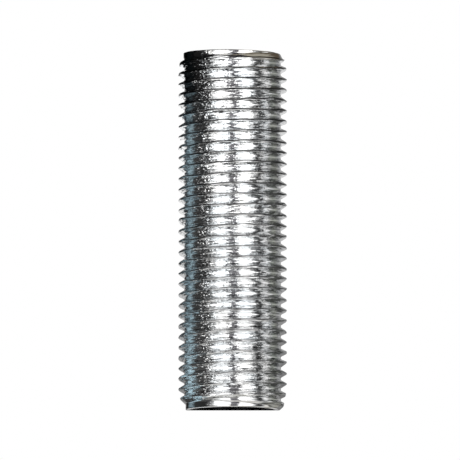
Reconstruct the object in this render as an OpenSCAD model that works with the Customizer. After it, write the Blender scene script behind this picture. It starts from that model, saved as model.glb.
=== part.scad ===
// Threaded pipe nipple: one straight length of thin steel tube with a
// single-start right-hand 60 degree pipe thread along its whole length,
// a short chamfer on each end and a light deburr cone in each bore mouth.
// Frame: axis on +Z, origin at the centre of the lower end face, millimetres.

/* [Tube] */
// Overall length, end face to end face
nipple_len = 32; // [12:0.25:60]
// Bore diameter of the tube
bore_d = 7.2; // [6.4:0.1:7.8]
// Depth of the deburr cone at each bore mouth
deburr = 0.18; // [0.05:0.01:0.3]

/* [Thread] */
// Outside diameter over the thread crests
thread_d = 9.7; // [9.6:0.05:9.9]
// Threads per inch
tpi = 27; // [24:1:28]
// Radial depth from crest to root, as a share of the pitch
depth_ratio = 0.567; // [0.5:0.005:0.6]
// Width of the crest flat, as a share of the pitch
crest_ratio = 0.125; // [0.1:0.005:0.16]
// Height of the crest above the lower end face on the +X side
thread_phase = 0.42; // [0.1:0.01:0.9]

/* [Ends] */
// Slope of the end chamfers, measured from the axis
chamfer_angle = 28; // [20:1:45]

/* [Hidden] */

inch = 25.4;
pitch = inch / tpi;
r_major = thread_d / 2;
r_root = r_major - depth_ratio * pitch;
r_bore = bore_d / 2;

face_inset = 0.02;              // the flat end faces stop this far inside the root
r_face = r_root - face_inset;
chamfer_h = (r_major - r_face) / tan(chamfer_angle);

// The crest points stand a hair outside the true crest cylinder. The envelope
// trims them back, which leaves cylindrical lands at the outside diameter.
cols = 28;                      // columns of points in a turn
step = 360 / cols;
r_crest = r_major * cos(step / 4) / cos(step / 2);

// One pitch of the thread form, as [height share, radius], going up from the
// middle of a crest: end of crest, start of root, end of root, start of crest.
flank_angle = 30;               // half of the 60 degree thread angle
crest_end = crest_ratio / 2;
root_start = crest_end + depth_ratio * tan(flank_angle);
form = [
    [crest_end, r_crest],
    [root_start, r_root],
    [1 - root_start, r_root],
    [1 - crest_end, r_crest]
];

// The helical body runs past both ends of the tube. The turns start and stop
// beyond it, and their outlying rows are flattened onto its end planes.
overrun = 0.3;
z_low = -overrun;
z_high = nipple_len + overrun;
first_turn = -3;
last_turn = ceil(nipple_len / pitch) + 1;
turn_rows = len(form);
rows = turn_rows * (last_turn - first_turn + 1);

// Unclamped height of the point at a row and column.
function row_z(row, col) = thread_phase
    + pitch * (first_turn + floor(row / turn_rows) + form[row % turn_rows][0] + col / cols);

// Point of the helical surface, drawn in to the root radius past either end.
function thread_point(row, col) =
    let (z = row_z(row, col),
         r = z > z_low && z < z_high ? form[row % turn_rows][1] : r_root)
    [r * cos(step * col), r * sin(step * col), max(z_low, min(z_high, z))];

// Index of a point, and of its neighbour one column on. After a full turn
// a row carries on as the matching row one pitch up.
function at(row, col) = row * cols + col;
function after(row, col) =
    col == cols - 1 ? at(row + turn_rows, 0) : at(row, col + 1);

// Helical thread on a solid core, closed by a fan of triangles at each end.
module helical_body() {
    points = concat(
        [for (row = [0 : rows - 1]) for (col = [0 : cols - 1]) thread_point(row, col)],
        [[0, 0, z_low], [0, 0, z_high]]);
    low_centre = rows * cols;
    high_centre = low_centre + 1;
    top_row = rows - turn_rows - 1;   // the last row with a full turn above it
    walls = [for (row = [0 : top_row - 1]) for (col = [0 : cols - 1])
        let (opposite = after(row, col) + cols)
        each [
            [at(row, col), at(row + 1, col), opposite],
            [at(row, col), opposite, after(row, col)]
        ]];
    caps = [for (col = [0 : cols - 1])
        each [
            [low_centre, at(0, col), after(0, col)],
            [high_centre, after(top_row, col), at(top_row, col)]
        ]];
    polyhedron(points = points, faces = concat(walls, caps), convexity = 10);
}

// Outline of the finished tube, turned about its axis: chamfered outside,
// deburred inside.
module tube_envelope() {
    rotate_extrude($fn = 128)
        polygon([
            [r_bore + deburr, 0],
            [r_face, 0],
            [r_major, chamfer_h],
            [r_major, nipple_len - chamfer_h],
            [r_face, nipple_len],
            [r_bore + deburr, nipple_len],
            [r_bore, nipple_len - deburr],
            [r_bore, deburr]
        ]);
}

module threaded_nipple() {
    color("silver")
        intersection() {
            helical_body();
            tube_envelope();
        }
}

threaded_nipple();
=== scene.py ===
# Threaded pipe nipple, bright zinc plated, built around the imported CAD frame.
# Axis on +Z, lower end face at z = 0. The camera stands on the -Y side, +X to its right.
# The part is worked out in mm and built in metres; the stage is in metres.
import math
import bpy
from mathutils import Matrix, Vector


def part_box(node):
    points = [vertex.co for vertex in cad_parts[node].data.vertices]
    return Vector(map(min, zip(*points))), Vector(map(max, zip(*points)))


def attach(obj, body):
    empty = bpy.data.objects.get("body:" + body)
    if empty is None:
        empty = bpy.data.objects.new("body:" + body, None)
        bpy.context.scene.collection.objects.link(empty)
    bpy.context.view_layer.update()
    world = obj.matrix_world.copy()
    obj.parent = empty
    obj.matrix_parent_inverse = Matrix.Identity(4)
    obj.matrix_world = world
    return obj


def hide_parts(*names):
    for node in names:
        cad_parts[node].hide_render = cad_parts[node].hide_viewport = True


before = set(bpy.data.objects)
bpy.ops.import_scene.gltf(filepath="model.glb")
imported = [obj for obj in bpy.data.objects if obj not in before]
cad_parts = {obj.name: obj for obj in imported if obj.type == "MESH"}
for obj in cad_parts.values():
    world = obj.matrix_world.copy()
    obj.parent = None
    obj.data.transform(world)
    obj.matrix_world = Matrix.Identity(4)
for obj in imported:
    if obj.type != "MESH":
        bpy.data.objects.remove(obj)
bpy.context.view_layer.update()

from types import SimpleNamespace

import bmesh
import bpy
import numpy as np
from mathutils import Vector

MM = 0.001
TURN = 2 * math.pi
low_corner, high_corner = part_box("threaded_nipple")

# ---------------------------------------------------------------- dimensions, mm
LENGTH = (high_corner.z - low_corner.z) / MM
R_MAJOR = (high_corner.x - low_corner.x) / 2 / MM    # over the crests
PITCH = 25.4 / 27
R_ROOT = R_MAJOR - 0.567 * PITCH
PHASE = 0.42                    # height of the crest at +X above the lower face
ROOT_BLEND = 0.05               # softness of the root's corners
CREST_WANDER = 0.050            # how far the crest strays up and down
CREST_GAP = 0.003               # least and extra shortfall of the crest from R_MAJOR
CREST_WEAR = 0.012
R_LIMIT = R_MAJOR - 0.001
CUT_BLEND = 0.03                # softness where an end cut meets the thread
LINE_BLEND = 0.06               # softness between the two lines of an end cut
EDGE = {"depth": 0.05, "drop": 0.04}    # rounding where a chamfer meets its end face
R_BORE = 3.6
DEBURR = 0.18
R_FACE_INNER = R_BORE + DEBURR + 0.05   # inner edge of the flat end faces

# The end cuts are lines over the distance in from the end face: (radius at the face, slope).
# Upper end: a short chamfer, leaning with the angle, then a slow taper.
TOP_CUT = {"chamfer": (4.36, 0.50), "taper": (4.58, 0.17), "lean": -0.10}
# Lower end: a plain neck, a chamfer that starts at a depth varying with the angle, a taper.
BOTTOM_CUT = {"neck": 4.20, "slope": 1.10, "taper": (4.50, 0.19),
              "start": 0.25, "start_swing": 0.30, "start_angle": math.radians(34)}
R_PLAIN_BAND = 4.385
# The chip the top cut left: height, angle, level, and its half-widths in radians and mm
BURR = {"height": 0.15, "angle": -0.03, "level": LENGTH - 0.62, "spread": 0.04, "rise": 0.05}

# Bore mouth, from the end face inwards: (radius beyond the bore, depth, wander)
LIP = (
    (DEBURR + 0.012, 0.010, 0.006), (DEBURR - 0.02, 0.035, 0.006), (0.09, 0.115, 0.006),
    (0.035, 0.17, 0.002), (0.004, 0.24, 0.002),
)
LIP_DEPTH = LIP[-1][1]
BORE_LEVELS = 62
BORE_WANDER = 0.0035

# ------------------------------------------------------------ mesh layout
COLS = 216
ANGLES = np.arange(COLS) * TURN / COLS
# Rows of one turn: distances from the crest in pitches, closer over the crest and the root
KNOTS = np.array([
    0.0, 0.016, 0.034, 0.052, 0.070, 0.088, 0.106, 0.15,
    0.22, 0.29, 0.34, 0.363, 0.384, 0.405, 0.428, 0.47,
])
OFFSETS = np.array(sorted(set(np.round(np.concatenate([-KNOTS[1:], KNOTS]), 6))))
TURN_ROWS = len(OFFSETS)


# ------------------------------------------------------------ noise and blends
def ring_noise(theta, waves, amp, seed):
    """Smooth noise round the axis: the same at 0 and 2 pi."""
    draws = np.random.default_rng(seed)
    total = np.zeros_like(theta)
    for k in range(waves[0], waves[1] + 1):
        height, phase = draws.normal(), draws.uniform(0, TURN)
        total += height * np.cos(k * theta + phase)
    return amp * total / math.sqrt(waves[1] - waves[0] + 1)


def line_noise(along, step, seed, count=4096):
    """Smooth noise along a line, one new value every step."""
    values = np.random.default_rng(seed).normal(size=count)
    place = np.asarray(along) / step + 40
    cell = np.floor(place).astype(int)
    part = place - cell
    part = part * part * (3 - 2 * part)
    return values[cell % count] * (1 - part) + values[(cell + 1) % count] * part


def smooth_max(a, b, blend):
    h = np.clip(0.5 + 0.5 * (a - b) / blend, 0, 1)
    return b * (1 - h) + a * h + blend * h * (1 - h)


def smooth_min(a, b, blend):
    h = np.clip(0.5 + 0.5 * (b - a) / blend, 0, 1)
    return b * (1 - h) + a * h - blend * h * (1 - h)


# ------------------------------------------------------------ outside surface
def thread_form(share, crest_radius):
    """Radius of the thread at |share| pitches from the crest's centre line:
    60 degree flanks, a narrow flat root, a rounded crest."""
    x = np.abs(share) * PITCH
    slope = math.tan(math.radians(60))
    apex = R_MAJOR + 0.0625 * PITCH * slope     # where the flanks would meet above the crest
    # circle touching both flanks, its top at crest_radius
    radius = np.maximum(apex - crest_radius, 1e-4)
    touch = radius * math.cos(math.radians(30))
    arc = crest_radius - radius + np.sqrt(np.maximum(radius ** 2 - np.minimum(x, touch) ** 2, 0))
    return smooth_max(np.where(x < touch, arc, apex - x * slope), R_ROOT, ROOT_BLEND)


def top_level(theta):
    """The top end face, a little lower on the +X side, with a slightly ragged edge."""
    ragged = np.clip(ring_noise(theta, (3, 14), 1.0, 77), 0, 2)
    return LENGTH - 0.001 - 0.054 * (1 + np.cos(theta + 0.22)) - 0.008 * ragged


def bottom_cut(theta, depth):
    """Radius the lower end cut leaves at this depth in from the end face."""
    cut = BOTTOM_CUT
    start = cut["start"] - cut["start_swing"] * np.cos(theta - cut["start_angle"])
    radius = smooth_max(cut["neck"] + cut["slope"] * (depth - start), cut["neck"], 0.03)
    face_radius, slope = cut["taper"]
    edge = 0.04 * np.clip(1 - depth / 0.07, 0, 1) ** 2
    radius = smooth_min(radius, face_radius + slope * depth, LINE_BLEND)
    return radius + ring_noise(theta, (2, 7), 0.008, 11) - edge


def top_cut(theta, depth):
    """Radius the upper end cut leaves at this depth in from the end face."""
    (chamfer, chamfer_slope), (taper, taper_slope) = TOP_CUT["chamfer"], TOP_CUT["taper"]
    leaning = chamfer + TOP_CUT["lean"] * np.cos(theta) + chamfer_slope * depth
    radius = smooth_min(leaning, taper + taper_slope * depth, LINE_BLEND)
    return radius + ring_noise(theta, (2, 7), 0.010, 12)


def outer_radius(theta, z, share, along):
    """Radius of the finished outside surface: the thread, then the end cuts."""
    wear = np.clip(0.5 + 0.5 * line_noise(along, 1.3, 5), 0, 1.4)
    radius = thread_form(share, R_MAJOR - CREST_GAP - CREST_WEAR * wear)
    radius = np.minimum(radius, R_LIMIT)
    radius = smooth_min(radius, bottom_cut(theta, z), CUT_BLEND)
    depth = top_level(theta) - z
    radius = smooth_min(radius, top_cut(theta, depth), CUT_BLEND)
    # the top cut leaves a plain band on the -X side, where the last groove runs out
    band = np.clip((0.55 - depth) / 0.15, 0, 1) * np.clip((-np.cos(theta) - 0.15) / 0.35, 0, 1)
    radius = radius * (1 - band) + R_PLAIN_BAND * band
    swing = np.minimum(np.abs(theta - BURR["angle"] % TURN), np.abs(theta - BURR["angle"]))
    chip = np.exp(-(swing / BURR["spread"]) ** 2 - ((z - BURR["level"]) / BURR["rise"]) ** 2)
    radius = np.minimum(radius + BURR["height"] * chip, R_LIMIT)
    for face_distance in (z, depth):
        near = np.clip(1 - face_distance / EDGE["depth"], 0, 1)
        radius = radius - EDGE["drop"] * (1 - np.sqrt(np.maximum(1 - near ** 2, 0)))
    return radius


def helix_grid():
    """Rows that follow the thread, cut off level with both end faces: points in mm,
    the top face's level at each, and how far each lies from the crest in pitches."""
    first_turn = -2
    turns = int(math.ceil(LENGTH / PITCH)) + 1 - first_turn + 1
    row = np.arange(turns * TURN_ROWS)
    turn = (first_turn + row // TURN_ROWS)[:, None]
    share = np.repeat(OFFSETS[row % TURN_ROWS][:, None], COLS, 1)
    theta = np.repeat(ANGLES[None, :], len(row), 0)
    along = (turn * TURN + theta) * R_MAJOR     # mm along the helix
    # the crest wanders a little up and down, the root stays put
    drift = line_noise(along, 2.3, 7) + 0.6 * line_noise(along, 0.8, 8)
    drift = CREST_WANDER * drift * np.clip(1 - np.abs(share) / 0.34, 0, 1)
    free_z = PHASE + PITCH * (turn + share + theta / TURN) + drift
    roof = top_level(theta)
    z = np.clip(free_z, 0, roof)
    # where the height is clamped, the true distance from the crest differs from the row's
    clamped = free_z != z
    from_crest = (z - PHASE) / PITCH - theta / TURN
    true_share = from_crest - np.round(from_crest)
    radius = np.where(clamped, outer_radius(theta, z, true_share, np.zeros_like(along)),
                      outer_radius(theta, z, share, along))
    points = np.stack([radius * np.cos(theta), radius * np.sin(theta), z], -1)
    return points, roof, np.where(clamped, true_share, share)


def helix_faces(z, roof):
    """Quads of the grid, without those lying wholly in an end face. The last column
    joins the first one a turn further up."""
    faces = []
    for i in range(len(z) - TURN_ROWS - 1):
        for j in range(COLS):
            k, after = (i, j + 1) if j < COLS - 1 else (i + TURN_ROWS, 0)
            corners = (i, j), (k, after), (k + 1, after), (i + 1, j)
            if max(z[c] for c in corners) <= 0 or all(z[c] >= roof[c] - 1e-9 for c in corners):
                continue
            faces.append([c[0] * COLS + c[1] for c in corners])
    return faces


def add_outside(bm, mesh):
    """Fill bm with the threaded outside, open at both ends."""
    points, roof, share = helix_grid()
    verts = [tuple(point) for point in points.reshape(-1, 3) * MM]
    mesh.from_pydata(verts, [], helix_faces(points[..., 2], roof))
    bm.from_mesh(mesh)
    # how far each point lies from the crest, in pitches, for the material
    layer = bm.verts.layers.float.new("form_share")
    for vert, value in zip(bm.verts, share.reshape(-1).tolist()):
        vert[layer] = value
    bmesh.ops.remove_doubles(bm, verts=bm.verts, dist=1.5e-7)
    bmesh.ops.dissolve_degenerate(bm, edges=bm.edges, dist=1e-7)
    loose = [v for v in bm.verts if not v.link_faces]
    bmesh.ops.delete(bm, geom=loose, context="VERTS")


# ------------------------------------------------------------ ends and bore
def add_ring(bm, radius, level, seed, wander):
    radii = (radius + ring_noise(ANGLES, (2, 9), wander, seed)) * MM
    heights = (level + np.zeros(COLS)) * MM
    return [bm.verts.new((r * math.cos(angle), r * math.sin(angle), z))
            for r, angle, z in zip(radii, ANGLES, heights)]


def skin(bm, ring, other, flip):
    for j in range(COLS):
        k = (j + 1) % COLS
        quad = [ring[j], ring[k], other[k], other[j]]
        if flip:
            quad.reverse()
        bm.faces.new(quad)


def angle_of(vert):
    return math.atan2(vert.co.y, vert.co.x) % TURN


def open_rim(bm, top):
    """Points of the open edge at one end, in order of angle."""
    edges = [e for e in bm.edges if e.is_boundary
             and all((v.co.z > LENGTH / 2 * MM) == top for v in e.verts)]
    return sorted({v for e in edges for v in e.verts}, key=angle_of)


def stitch(bm, rim, inner, flip):
    """Join rim and ring by angle, as the rim may carry more points than the ring."""
    rim_angles = [angle_of(v) for v in rim]
    rim_angles.append(rim_angles[0] + TURN)
    ring_angles = [TURN * j / COLS for j in range(COLS)] + [TURN]
    i, j = 0, 0
    while i < len(rim) or j < COLS:
        step_rim = j >= COLS or (i < len(rim) and rim_angles[i + 1] <= ring_angles[j + 1] + 1e-9)
        step_ring = i >= len(rim) or (j < COLS and ring_angles[j + 1] <= rim_angles[i + 1] + 1e-9)
        face, last = [rim[i % len(rim)]], inner[j % COLS]
        if step_rim:
            i += 1
            face.append(rim[i % len(rim)])
        if step_ring:
            j += 1
            face.append(inner[j % COLS])
        face.append(last)
        if flip:
            face.reverse()
        bm.faces.new(face)


def add_end(bm, top):
    """End face, rounded lip and deburr cone; returns the ring where the bore begins."""
    level, inward = (top_level(ANGLES), -1) if top else (0.0, 1)
    rim = open_rim(bm, top)
    ring = add_ring(bm, R_FACE_INNER, level, 31 + top, 0.006)
    stitch(bm, rim, ring, flip=not top)
    for n, (beyond, depth, wander) in enumerate(LIP):
        deeper = add_ring(bm, R_BORE + beyond, level + inward * depth, 41 + 2 * n + top, wander)
        skin(bm, ring, deeper, flip=not top)
        ring = deeper
    return ring


def add_bore(bm, lower, upper):
    """Bore wall with faint draw lines."""
    ring = lower
    for z in np.linspace(LIP_DEPTH, LENGTH - LIP_DEPTH, BORE_LEVELS)[1:-1]:
        higher = add_ring(bm, R_BORE, z, 61, BORE_WANDER)
        skin(bm, ring, higher, flip=True)
        ring = higher
    skin(bm, ring, upper, flip=True)


def build_nipple():
    mesh = bpy.data.meshes.new("threaded_nipple_shell")
    bm = bmesh.new()
    add_outside(bm, mesh)
    lower = add_end(bm, top=False)
    upper = add_end(bm, top=True)
    add_bore(bm, lower, upper)
    bmesh.ops.recalc_face_normals(bm, faces=bm.faces)
    bm.to_mesh(mesh)
    bm.free()
    for polygon in mesh.polygons:
        polygon.use_smooth = True
    return link_object("nipple_plated_tube", mesh)


def link_object(name, data):
    ob = bpy.data.objects.new(name, data)
    bpy.context.scene.collection.objects.link(ob)
    return ob


# ---------------------------------------------------------------- node helper
class Nodes:
    """Adds shader nodes; most methods return the new node's output socket."""

    def __init__(self, tree):
        self.tree = tree
        tree.nodes.clear()

    def add(self, kind, **props):
        node = self.tree.nodes.new(kind)
        for name, value in props.items():
            setattr(node, name, value)
        return node

    def put(self, value, socket):
        """Set a plain value, or link an output."""
        if isinstance(value, (int, float, tuple)):
            socket.default_value = value
        else:
            self.tree.links.new(value, socket)

    def math(self, operation, *values):
        node = self.add("ShaderNodeMath", operation=operation)
        for value, socket in zip(values, node.inputs):
            self.put(value, socket)
        return node.outputs[0]

    def multiply(self, product, *others):
        for other in others:
            product = self.math("MULTIPLY", product, other)
        return product

    def multiply_add(self, value, factor, addend):
        return self.math("MULTIPLY_ADD", value, factor, addend)

    def inverse(self, value):
        return self.math("SUBTRACT", 1.0, value)

    def distance(self, x, y):
        return self.math("SQRT", self.math("ADD", self.multiply(x, x), self.multiply(y, y)))

    def vector_math(self, operation, *values):
        node = self.add("ShaderNodeVectorMath", operation=operation)
        for value, socket in zip(values, node.inputs):
            self.put(value, socket)
        return node.outputs["Value" if operation == "DOT_PRODUCT" else "Vector"]

    def mix(self, factor, a, b):
        return self._mix("FLOAT", (0, 2, 3), (factor, a, b))

    def mix_color(self, factor, a, b):
        return self._mix("RGBA", (0, 6, 7), (factor, a, b))

    def _mix(self, kind, sockets, values):
        node = self.add("ShaderNodeMix", data_type=kind)
        for socket, value in zip(sockets, values):
            self.put(value, node.inputs[socket])
        return node.outputs[sockets[1] // 3 * 1 if kind == "RGBA" else 0]

    def scale_where(self, value, mask, factor):
        return self.multiply(value, self.mix(mask, 1.0, factor))

    def span(self, value, between, to=(0.0, 1.0), smooth=True):
        """Map the first range on to the second, held at its ends."""
        kind = "SMOOTHSTEP" if smooth else "LINEAR"
        node = self.add("ShaderNodeMapRange", interpolation_type=kind)
        for number, socket in zip((value, *between, *to), node.inputs):
            self.put(number, socket)
        return node.outputs[0]

    def signed(self, value, half):
        """0.5 -+ half becomes -1 to 1."""
        return self.span(value, between=(0.5 - half, 0.5 + half), to=(-1.0, 1.0), smooth=False)

    def xyz(self, *values):
        node = self.add("ShaderNodeCombineXYZ")
        for value, socket in zip(values, node.inputs):
            self.put(value, socket)
        return node.outputs[0]

    def split(self, vector):
        node = self.add("ShaderNodeSeparateXYZ")
        self.put(vector, node.inputs[0])
        return tuple(node.outputs)

    def noise(self, vector, scale, detail, rough, w=None):
        node = self.add("ShaderNodeTexNoise", noise_dimensions="3D" if w is None else "4D")
        self.put(vector, node.inputs["Vector"])
        if w is not None:
            self.put(w, node.inputs["W"])
        node.inputs["Scale"].default_value = scale
        node.inputs["Detail"].default_value = detail
        node.inputs["Roughness"].default_value = rough
        return node.outputs["Fac"]

    def ramp(self, factor, stops):
        node = self.add("ShaderNodeValToRGB")
        elements = node.color_ramp.elements
        while len(elements) > 1:
            elements.remove(elements[-1])
        for i, (position, color) in enumerate(stops):
            element = elements[0] if i == 0 else elements.new(position)
            element.position = position
            element.color = color
        self.put(factor, node.inputs[0])
        return node.outputs[0]

    def emission(self, strength):
        node = self.add("ShaderNodeEmission")
        node.inputs["Color"].default_value = (1, 1, 1, 1)
        self.put(strength, node.inputs["Strength"])
        return node

    def position_mm(self):
        coords = self.add("ShaderNodeTexCoord")
        scaled = self.add("ShaderNodeVectorMath", operation="SCALE")
        self.put(coords.outputs["Object"], scaled.inputs[0])
        scaled.inputs["Scale"].default_value = 1000.0
        return scaled.outputs[0]


def new_material(name):
    """A material, its node helper and its empty surface socket."""
    material = bpy.data.materials.new(name)
    material.use_nodes = True
    nodes = Nodes(material.node_tree)
    return material, nodes, nodes.add("ShaderNodeOutputMaterial").inputs[0]


# ---------------------------------------------------------------- zinc plate
ROUGHNESS = {"low": 0.03, "high": 0.06, "crest_shade": 0.3, "bore": 0.2}
# Tilt of the normal by each texture, round the axis and up it
TILT_AROUND = {"streak": 0.11, "fine": 0.045, "grain": 0.02, "speck": 0.37, "crystal": 0.045}
TILT_UP = {"grain": 0.02, "crystal": 0.04, "drag": 0.45, "fine": 0.09}
GRAIN = {"scale": 7.0, "detail": 1.0, "rough": 0.6}    # plating grain, about 0.1 mm
CRYSTAL_SCALE = 12.0
SPECK_SHARE = (0.79, 1.0)       # range of crystal values that stand well off the surface
SPARKLE = math.radians(222)     # side of the tube where the sparkle is strongest
CREST_SHADE_OFFSET = 0.012             # pitches from the crest's centre line
CREST_SHADE_EDGE = (0.075, 0.045)      # pitches from the painted crest shade line: clear, full
ZINC_COOL, ZINC_WARM = (0.750, 0.765, 0.775, 1), (0.765, 0.765, 0.763, 1)
# ROOT_SHADE_COLOR is painted shade for the thread roots; TAN_COLOR is the tan of the cut ends
ROOT_SHADE_COLOR, TAN_COLOR = (0.50, 0.52, 0.53, 1), (0.62, 0.56, 0.47, 1)
# near black: painted shade along the crest, and painted shade in the bore
CREST_SHADE_COLOR, BORE_SHADE_COLOR = (0.012, 0.012, 0.013, 1), (0.005, 0.005, 0.005, 1)


def tube_coords(nodes):
    """Sockets that place a point on the tube and in the thread form."""
    position = nodes.position_mm()
    x, y, z = nodes.split(position)
    theta = nodes.math("ARCTAN2", y, x)
    radius = nodes.distance(x, y)
    # phase round the thread form: 0 at a crest, pi at a root
    climb = nodes.multiply(nodes.math("SUBTRACT", z, PHASE), TURN / PITCH)
    phase = nodes.math("SUBTRACT", climb, theta)
    share = nodes.add("ShaderNodeAttribute", attribute_type="GEOMETRY",
                      attribute_name="form_share").outputs["Fac"]
    return SimpleNamespace(
        position=position, z=z, share=share,
        cos_phase=nodes.math("COSINE", phase), sin_phase=nodes.math("SINE", phase),
        cos_theta=nodes.math("COSINE", theta), sin_theta=nodes.math("SINE", theta),
        end=nodes.math("MINIMUM", z, nodes.math("SUBTRACT", LENGTH, z)),
        bore=nodes.span(radius, between=(R_BORE + 0.26, R_BORE + 0.17)))


def helix_noise(nodes, at, across, around, drift, detail=1.0, rough=0.6, seed=0.0):
    """Noise that follows the thread: rates across it, round the axis and from turn to turn."""
    vector = nodes.xyz(nodes.multiply(at.cos_theta, around),
                       nodes.multiply_add(at.sin_theta, around, seed),
                       nodes.multiply(at.cos_phase, across))
    w = nodes.math("ADD", nodes.multiply(at.sin_phase, across), nodes.multiply(at.z, drift))
    return nodes.noise(vector, scale=1.0, detail=detail, rough=rough, w=w)


def crest_shade_mask(nodes, at):
    """A broken dark line along the crest, painted shade for the crest's upper edge."""
    off_crest_shade = nodes.math("ABSOLUTE", nodes.math("SUBTRACT", at.share, CREST_SHADE_OFFSET))
    breaks = helix_noise(nodes, at, across=0.25, around=5.0, drift=2.7, detail=2.0, rough=0.5,
                         seed=11.0)
    least = nodes.span(at.z, between=(17.0, 26.0), to=(0.5, 0.8))
    return nodes.multiply(nodes.span(off_crest_shade, between=CREST_SHADE_EDGE),
                          nodes.span(breaks, between=(0.30, 0.50), to=(least, 1.0)),
                          nodes.span(at.z, between=(2.0, 27.0), to=(0.55, 0.99)),
                          nodes.inverse(at.bore))


def zinc_color(nodes, at, crest_shade):
    cloud = nodes.noise(at.position, scale=0.55, detail=2.0, rough=0.5)    # slow tint drift
    color = nodes.mix_color(nodes.span(cloud, between=(0.35, 0.65)), ZINC_COOL, ZINC_WARM)
    # painted shade: the thread roots a little darker
    root_shade = nodes.span(nodes.math("ABSOLUTE", at.share), between=(0.30, 0.46))
    color = nodes.mix_color(nodes.multiply(root_shade, 0.10), color, ROOT_SHADE_COLOR)
    # tan patches on the cut ends
    patches = nodes.noise(at.position, scale=1.3, detail=3.0, rough=0.6)
    tan = nodes.multiply(nodes.span(at.end, between=(0.75, 0.05)),
                         nodes.span(patches, between=(0.4, 0.62)))
    color = nodes.mix_color(nodes.multiply(tan, 0.35), color, TAN_COLOR)
    # painted shade: a broken near-black line along the crest
    color = nodes.mix_color(crest_shade, color, CREST_SHADE_COLOR)
    # painted shade: the bore is near black
    return nodes.mix_color(at.bore, color, BORE_SHADE_COLOR)


def zinc_roughness(nodes, at, crest_shade, grain):
    rough = nodes.mix(nodes.span(grain, between=(0.35, 0.7)), ROUGHNESS["low"], ROUGHNESS["high"])
    rough = nodes.mix(crest_shade, rough, ROUGHNESS["crest_shade"])
    return nodes.mix(at.bore, rough, ROUGHNESS["bore"])


def crystal_values(nodes, at):
    """Three random values for each plating crystal, wider than high as the rolls leave them."""
    cells = nodes.add("ShaderNodeTexVoronoi", feature="F1", voronoi_dimensions="3D")
    flattened = nodes.vector_math("MULTIPLY", at.position, (0.8, 0.8, 1.35))
    nodes.put(flattened, cells.inputs["Vector"])
    cells.inputs["Scale"].default_value = CRYSTAL_SCALE
    values = nodes.add("ShaderNodeSeparateColor")
    nodes.put(cells.outputs["Color"], values.inputs[0])
    return tuple(values.outputs)


def zinc_normal(nodes, at, grain):
    """The surface normal, tilted round the axis and up it."""
    # rolling marks, about 1 mm by 0.1 mm, and finer ones, 0.3 mm by 0.05 mm
    streak = helix_noise(nodes, at, across=1.5, around=2.0, drift=1.9)
    fine = helix_noise(nodes, at, across=3.0, around=8.0, drift=4.3, seed=7.3)
    other_grain = nodes.noise(nodes.vector_math("ADD", at.position, (31.7, 12.9, 5.3)), **GRAIN)
    crystal_around, crystal_up, crystal_pick = crystal_values(nodes, at)

    around = nodes.multiply(nodes.signed(streak, 0.22), TILT_AROUND["streak"])
    around = nodes.multiply_add(nodes.signed(fine, 0.22), TILT_AROUND["fine"], around)
    around = nodes.multiply_add(nodes.signed(grain, 0.25), TILT_AROUND["grain"], around)
    side = nodes.math("SUBTRACT", nodes.multiply(at.cos_theta, math.cos(SPARKLE)),
                      nodes.multiply(at.sin_theta, -math.sin(SPARKLE)))
    speck = nodes.multiply(nodes.span(crystal_pick, between=SPECK_SHARE, smooth=False),
                           nodes.span(side, between=(0.70, 0.92), to=(0.25, 1.0)))
    around = nodes.multiply_add(speck, TILT_AROUND["speck"], around)
    around = nodes.multiply_add(nodes.signed(crystal_around, 0.5), TILT_AROUND["crystal"], around)

    up = nodes.multiply(nodes.signed(other_grain, 0.25), TILT_UP["grain"])
    up = nodes.multiply_add(nodes.signed(crystal_up, 0.5), TILT_UP["crystal"], up)
    # thin drag lines along the thread, more of them low down
    drag = helix_noise(nodes, at, across=1.9, around=3.2, drift=3.3, rough=0.5, seed=21.0)
    drag = nodes.math("ADD", drag, nodes.span(at.z, between=(16.0, 3.0), to=(0.0, 0.04)))
    up = nodes.multiply_add(nodes.span(drag, between=(0.56, 0.66)), TILT_UP["drag"], up)
    up = nodes.multiply_add(nodes.signed(fine, 0.22), TILT_UP["fine"], up)

    # no texture in the bore, and less of it where the ends are cut
    cut_fade = nodes.span(at.z, between=(10.0, 20.0), to=(0.25, 0.6))
    fade = nodes.multiply(nodes.inverse(at.bore),
                          nodes.mix(nodes.span(at.end, between=(1.0, 0.65)), 1.0, cut_fade))
    around = nodes.multiply(around, fade)
    up = nodes.multiply(up, fade)
    tilt = nodes.xyz(nodes.multiply(at.sin_theta, -1.0, around),
                     nodes.multiply(at.cos_theta, around), up)
    normal = nodes.add("ShaderNodeNewGeometry").outputs["Normal"]
    return nodes.vector_math("NORMALIZE", nodes.vector_math("ADD", normal, tilt))


def zinc_material():
    material, nodes, surface = new_material("bright_zinc_plate")
    bsdf = nodes.add("ShaderNodeBsdfPrincipled")
    nodes.put(bsdf.outputs[0], surface)
    at = tube_coords(nodes)
    grain = nodes.noise(at.position, **GRAIN)
    crest_shade = crest_shade_mask(nodes, at)
    nodes.put(zinc_color(nodes, at, crest_shade), bsdf.inputs["Base Color"])
    nodes.put(zinc_roughness(nodes, at, crest_shade, grain), bsdf.inputs["Roughness"])
    bsdf.inputs["Metallic"].default_value = 1.0
    nodes.put(zinc_normal(nodes, at, grain), bsdf.inputs["Normal"])
    return material


nipple = build_nipple()
nipple.data.materials.append(zinc_material())
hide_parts("threaded_nipple")
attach(nipple, "root")

# ---------------------------------------------------------------- stage, metres
CAM_ELEVATION = math.radians(-5.05)
CAM_DIST = 1.5
SENSOR = 36.0
VIEW_WIDTH = 41.108132 * MM             # width seen at the part
VIEW_SHIFT = (-0.0056521739, 0.0032608696)    # in view widths
FLOOR_HALF = 1.5
FLOOR_Z = -0.00002
CARD_HALF = 0.02
CARD_Z = (-0.003, -0.00004)
CARD_ANGLE = math.radians(2.5)
centre = Vector((0, 0, LENGTH / 2 * MM))
to_cam = Vector((0, -math.cos(CAM_ELEVATION), math.sin(CAM_ELEVATION)))


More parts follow.
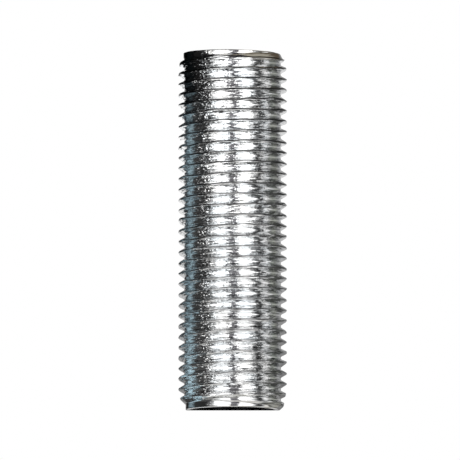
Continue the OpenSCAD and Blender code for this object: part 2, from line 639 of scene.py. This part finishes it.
def show_where(nodes, visible, shader, surface):
    """The shader where visible is 1, clear where it is 0."""
    clear = nodes.add("ShaderNodeBsdfTransparent")
    mixed = nodes.add("ShaderNodeMixShader")
    for value, socket in zip((visible, clear.outputs[0], shader), mixed.inputs):
        nodes.put(value, socket)
    nodes.put(mixed.outputs[0], surface)


def floor_material():
    """Pale from above to the camera, clear from below and to all other rays."""
    material, nodes, surface = new_material("pale_floor")
    diffuse = nodes.add("ShaderNodeBsdfDiffuse")
    diffuse.inputs["Color"].default_value = (0.86, 0.86, 0.86, 1)
    # a little light of its own keeps the floor pale from every side above it
    lift = nodes.emission(strength=0.35)
    both = nodes.add("ShaderNodeAddShader")
    nodes.put(diffuse.outputs[0], both.inputs[0])
    nodes.put(lift.outputs[0], both.inputs[1])
    geometry = nodes.add("ShaderNodeNewGeometry")
    path = nodes.add("ShaderNodeLightPath")
    solid = nodes.multiply(path.outputs["Is Camera Ray"],
                           nodes.inverse(geometry.outputs["Backfacing"]))
    show_where(nodes, solid, both.outputs[0], surface)
    return material


def card_material():
    """White, seen only from close to the main camera's direction."""
    material, nodes, surface = new_material("edge_card")
    white = nodes.emission(strength=1.0)
    incoming = nodes.add("ShaderNodeNewGeometry").outputs["Incoming"]
    facing = nodes.vector_math("DOT_PRODUCT", incoming, tuple(to_cam))
    path = nodes.add("ShaderNodeLightPath")
    seen = nodes.multiply(nodes.math("GREATER_THAN", facing, math.cos(CARD_ANGLE)),
                          path.outputs["Is Camera Ray"])
    show_where(nodes, seen, white.outputs[0], surface)
    return material


def stage_object(name, mesh, material):
    mesh.materials.append(material)
    ob = link_object(name, mesh)
    return ob


def make_plane(name, points, material):
    mesh = bpy.data.meshes.new(name)
    mesh.from_pydata(points, [], [(0, 1, 2, 3)])
    stage_object(name, mesh, material)


SQUARE = ((-1, -1), (1, -1), (1, 1), (-1, 1))
make_plane("stage_floor", [(x * FLOOR_HALF, y * FLOOR_HALF, FLOOR_Z) for x, y in SQUARE],
           floor_material())
# an upright card just under the floor, across the camera's view
make_plane("stage_edge_card", [(x * CARD_HALF, 0, CARD_Z[z > 0]) for x, z in SQUARE],
           card_material())

# ---------------------------------------------------------------- light tent
# One lit drum round the part stands for the softboxes, flags and backdrop of a
# small product-photo set. Angles are degrees round the part from the camera,
# plus to the camera's right; levels are radiance, 1 being the white backdrop.
TENT_R = 0.3
TENT_Z = (-0.6, 0.63)
TENT_SEGMENTS = 96
GAIN = 5.0                      # colours are stored divided by this
BAND_LEVEL = 0.87
CEILING = (0.03, 0.03, 0.03)
CEILING_LOW_GAIN = 6            # brighter ceiling for the lower part of the tube
WALL_NEAR = (0.42, 0.39, 0.32)
WALL_FAR = (0.11, 0.085, 0.06)
TABLE = (0.80, 0.79, 0.76)
FLOOR_SIDE = (0.40, 0.40, 0.37)
UNDER_GAIN = 0.4                # front softboxes as seen by downward rays
PANEL_CENTRE = 4.9              # elevation of the panels' middle, degrees
R_TUBE = 4.4                    # surface that steep rays leave, mm
# (angle, grey level or colour)
BANDS = (
    (-180, 0.75), (-164, 0.75), (-158, 0.03), (-141, 0.04),
    (-129, (0.42, 0.58, 0.66)), (-117, (0.45, 0.60, 0.67)),
    (-106, 0.07), (-67, 0.05), (-58, 0.20), (-49, 0.80), (-40, 2.6), (-34, 3.5), (-9, 3.5),
    (-5, (0.36, 0.35, 0.37)), (12, (0.31, 0.30, 0.32)),
    (16, 3.5), (43, 3.5), (52, 1.40), (60, 0.36), (66, 0.08), (76, 0.05),
    (81, 0.50), (87, 1.30), (94, 1.30), (102, 0.45),
    (112, (0.36, 0.375, 0.34)), (128, (0.33, 0.34, 0.31)), (140, 0.28),
    (158, 0.45), (180, 0.55),
)


def radiance(level, scale=1):
    color = level if isinstance(level, tuple) else (level,) * 3
    return tuple(c * scale / GAIN for c in color) + (1,)


def ray_coords(nodes):
    """Where a ray that hits the drum came from and was heading, in degrees and mm."""
    incoming = nodes.add("ShaderNodeNewGeometry").outputs["Incoming"]    # back to the part
    back_x, back_y, back_z = nodes.split(incoming)
    angle = nodes.math("ARCTAN2", nodes.multiply(back_x, -1.0), back_y)
    azimuth = nodes.multiply(angle, 180 / math.pi)
    rise = nodes.math("ARCSINE", nodes.multiply(back_z, -1.0))
    elevation = nodes.multiply(rise, 180 / math.pi)
    x, y, z = nodes.split(nodes.position_mm())
    flat = nodes.distance(back_x, back_y)
    reach = nodes.distance(x, y)
    surface_reach = nodes.math("SUBTRACT", reach, R_TUBE)
    return SimpleNamespace(
        azimuth=azimuth, elevation=elevation, side=nodes.math("ABSOLUTE", azimuth),
        # heights at which the ray left the axis and the surface
        axis_z=nodes.multiply_add(back_z, nodes.math("DIVIDE", reach, flat), z),
        surface_z=nodes.multiply_add(back_z, nodes.math("DIVIDE", surface_reach, flat), z))


def tent_patches(nodes, ray):
    """Masks of the surfaces that cover the bands."""
    span, multiply = nodes.span, nodes.multiply
    front = span(ray.side, between=(150, 130))
    # the softboxes end higher up, sooner for the upper end
    limit = span(ray.axis_z, between=(0.0, 30.0), to=(50.0, 36.0), smooth=False)
    over = nodes.math("DIVIDE", nodes.math("SUBTRACT", ray.elevation, limit), 8.0)
    return SimpleNamespace(
        ceiling=multiply(span(over, between=(0.0, 1.0)), front),
        # high on the right, seen only near the upper end
        wall=multiply(span(ray.azimuth, between=(35, 50)), span(ray.elevation, between=(14, 22)),
                      span(ray.surface_z, between=(31.35, 31.55))),
        # low on the right, seen only near the lower end
        floor_side=multiply(span(ray.azimuth, between=(50, 65)),
                            span(ray.elevation, between=(-16, -24)),
                            span(ray.axis_z, between=(1.5, 0.9))),
        table=multiply(span(ray.elevation, between=(-52, -62)), front))


def tent_color(nodes, ray, patches):
    fraction = nodes.multiply_add(ray.azimuth, 1 / 360, 0.5)
    stops = [(angle / 360 + 0.5, radiance(level, BAND_LEVEL)) for angle, level in BANDS]
    color = nodes.ramp(fraction, stops)
    ceiling = nodes.mix_color(nodes.span(ray.axis_z, between=(24.0, 8.0)),
                              radiance(CEILING), radiance(CEILING, CEILING_LOW_GAIN))
    color = nodes.mix_color(patches.ceiling, color, ceiling)
    wall = nodes.mix_color(nodes.span(ray.azimuth, between=(100, 135)),
                           radiance(WALL_NEAR), radiance(WALL_FAR))
    color = nodes.mix_color(patches.wall, color, wall)
    color = nodes.mix_color(patches.floor_side, color, radiance(FLOOR_SIDE))
    return nodes.mix_color(patches.table, color, radiance(TABLE))


def tent_gain(nodes, ray, patches):
    span, multiply, scale_where = nodes.span, nodes.multiply, nodes.scale_where
    azimuth, z = ray.azimuth, ray.axis_z
    under = multiply(span(ray.elevation, between=(-12, -22)), span(ray.side, between=(66, 56)))
    gain = nodes.mix(under, 1.0, UNDER_GAIN)
    # the panel to the right and behind is brightest along its middle
    panel = multiply(span(azimuth, between=(96, 104)), span(azimuth, between=(160, 156)))
    off = nodes.math("ABSOLUTE", nodes.math("SUBTRACT", ray.elevation, PANEL_CENTRE))
    gain = scale_where(gain, panel, span(off, between=(4.0, 11.0), to=(1.5, 0.25)))
    # lower down, the front softboxes fade towards their upper and lower edges
    soft = multiply(span(ray.side, between=(62, 50)), span(z, between=(22.0, 8.0)))
    gain = scale_where(gain, soft, span(off, between=(5.0, 16.0), to=(1.0, 0.55)))
    for mask in (patches.wall, patches.floor_side, patches.table):
        gain = nodes.mix(mask, gain, 1.0)
    # the backdrop is brighter higher up, with a dark flag above its left half
    rear = span(ray.side, between=(157, 164))
    high = span(ray.elevation, between=(3.0, 9.0))
    backdrop = multiply(span(z, between=(0.0, 26.0), to=(0.45, 1.7)),
                        span(z, between=(-0.02, -0.10), to=(1.0, 3.5)))
    flag = span(z, between=(2.0, 26.0), to=(0.28, 0.04))
    above = nodes.mix(span(azimuth, between=(-10, 10)), flag, 0.8)
    gain = scale_where(gain, rear, nodes.mix(high, backdrop, above))
    # the plain band at the upper end stands dark against the backdrop
    gain = scale_where(gain, span(azimuth, between=(-157, -164)),
                       span(z, between=(31.2, 31.4), to=(1.0, 0.06)))
    left = multiply(span(azimuth, between=(-63, -70)), span(azimuth, between=(-163, -157)))
    # the cool panel on the left stops short of the upper end
    cool = multiply(span(azimuth, between=(-100, -108)), span(azimuth, between=(-163, -157)))
    gain = scale_where(gain, cool, span(z, between=(28.8, 24.3), to=(0.05, 1.0)))
    # the whole left side: brighter low down, dim at both ends
    for heights, levels in (((9.0, 2.0), (1.0, 1.7)), ((0.9, 0.5), (1.0, 0.35)),
                            ((24.0, 29.5), (1.0, 0.25))):
        gain = scale_where(gain, left, span(z, between=heights, to=levels))
    return multiply(gain, GAIN)


def tent_material():
    material, nodes, surface = new_material("light_tent")
    ray = ray_coords(nodes)
    patches = tent_patches(nodes, ray)
    glow = nodes.emission(tent_gain(nodes, ray, patches))
    nodes.put(tent_color(nodes, ray, patches), glow.inputs["Color"])
    nodes.put(glow.outputs[0], surface)
    return material


def build_tent():
    bm = bmesh.new()
    angles = [TURN * i / TENT_SEGMENTS for i in range(TENT_SEGMENTS)]
    lower, upper = [
        [bm.verts.new((TENT_R * math.sin(a), -TENT_R * math.cos(a), z)) for a in angles]
        for z in TENT_Z]
    for i in range(TENT_SEGMENTS):
        k = (i + 1) % TENT_SEGMENTS
        bm.faces.new((lower[i], lower[k], upper[k], upper[i]))
    bm.faces.new(lower[::-1])
    bm.faces.new(upper)
    mesh = bpy.data.meshes.new("stage_light_tent")
    bm.to_mesh(mesh)
    bm.free()
    tent = stage_object("stage_light_tent", mesh, tent_material())
    tent.visible_camera = False
    tent.visible_shadow = False


def build_world():
    world = bpy.data.worlds.new("studio")
    bpy.context.scene.world = world
    world.use_nodes = True
    nodes = Nodes(world.node_tree)
    output = nodes.add("ShaderNodeOutputWorld")
    background = nodes.add("ShaderNodeBackground")
    background.inputs["Color"].default_value = (1, 1, 1, 1)
    background.inputs["Strength"].default_value = 1.0
    nodes.put(background.outputs[0], output.inputs[0])


def build_camera():
    data = bpy.data.cameras.new("camera")
    data.sensor_width = SENSOR
    data.lens = SENSOR * CAM_DIST / VIEW_WIDTH
    data.clip_start = 0.01
    data.clip_end = 20
    # the part sits slightly off the middle of the frame
    data.shift_x, data.shift_y = VIEW_SHIFT
    camera = link_object("camera", data)
    camera.location = centre + to_cam * CAM_DIST
    camera.rotation_euler = (centre - camera.location).to_track_quat("-Z", "Y").to_euler()
    bpy.context.scene.camera = camera


build_tent()
build_world()
build_camera()

bpy.context.scene.view_settings.view_transform = "Standard"
bpy.context.scene.view_settings.look = "None"
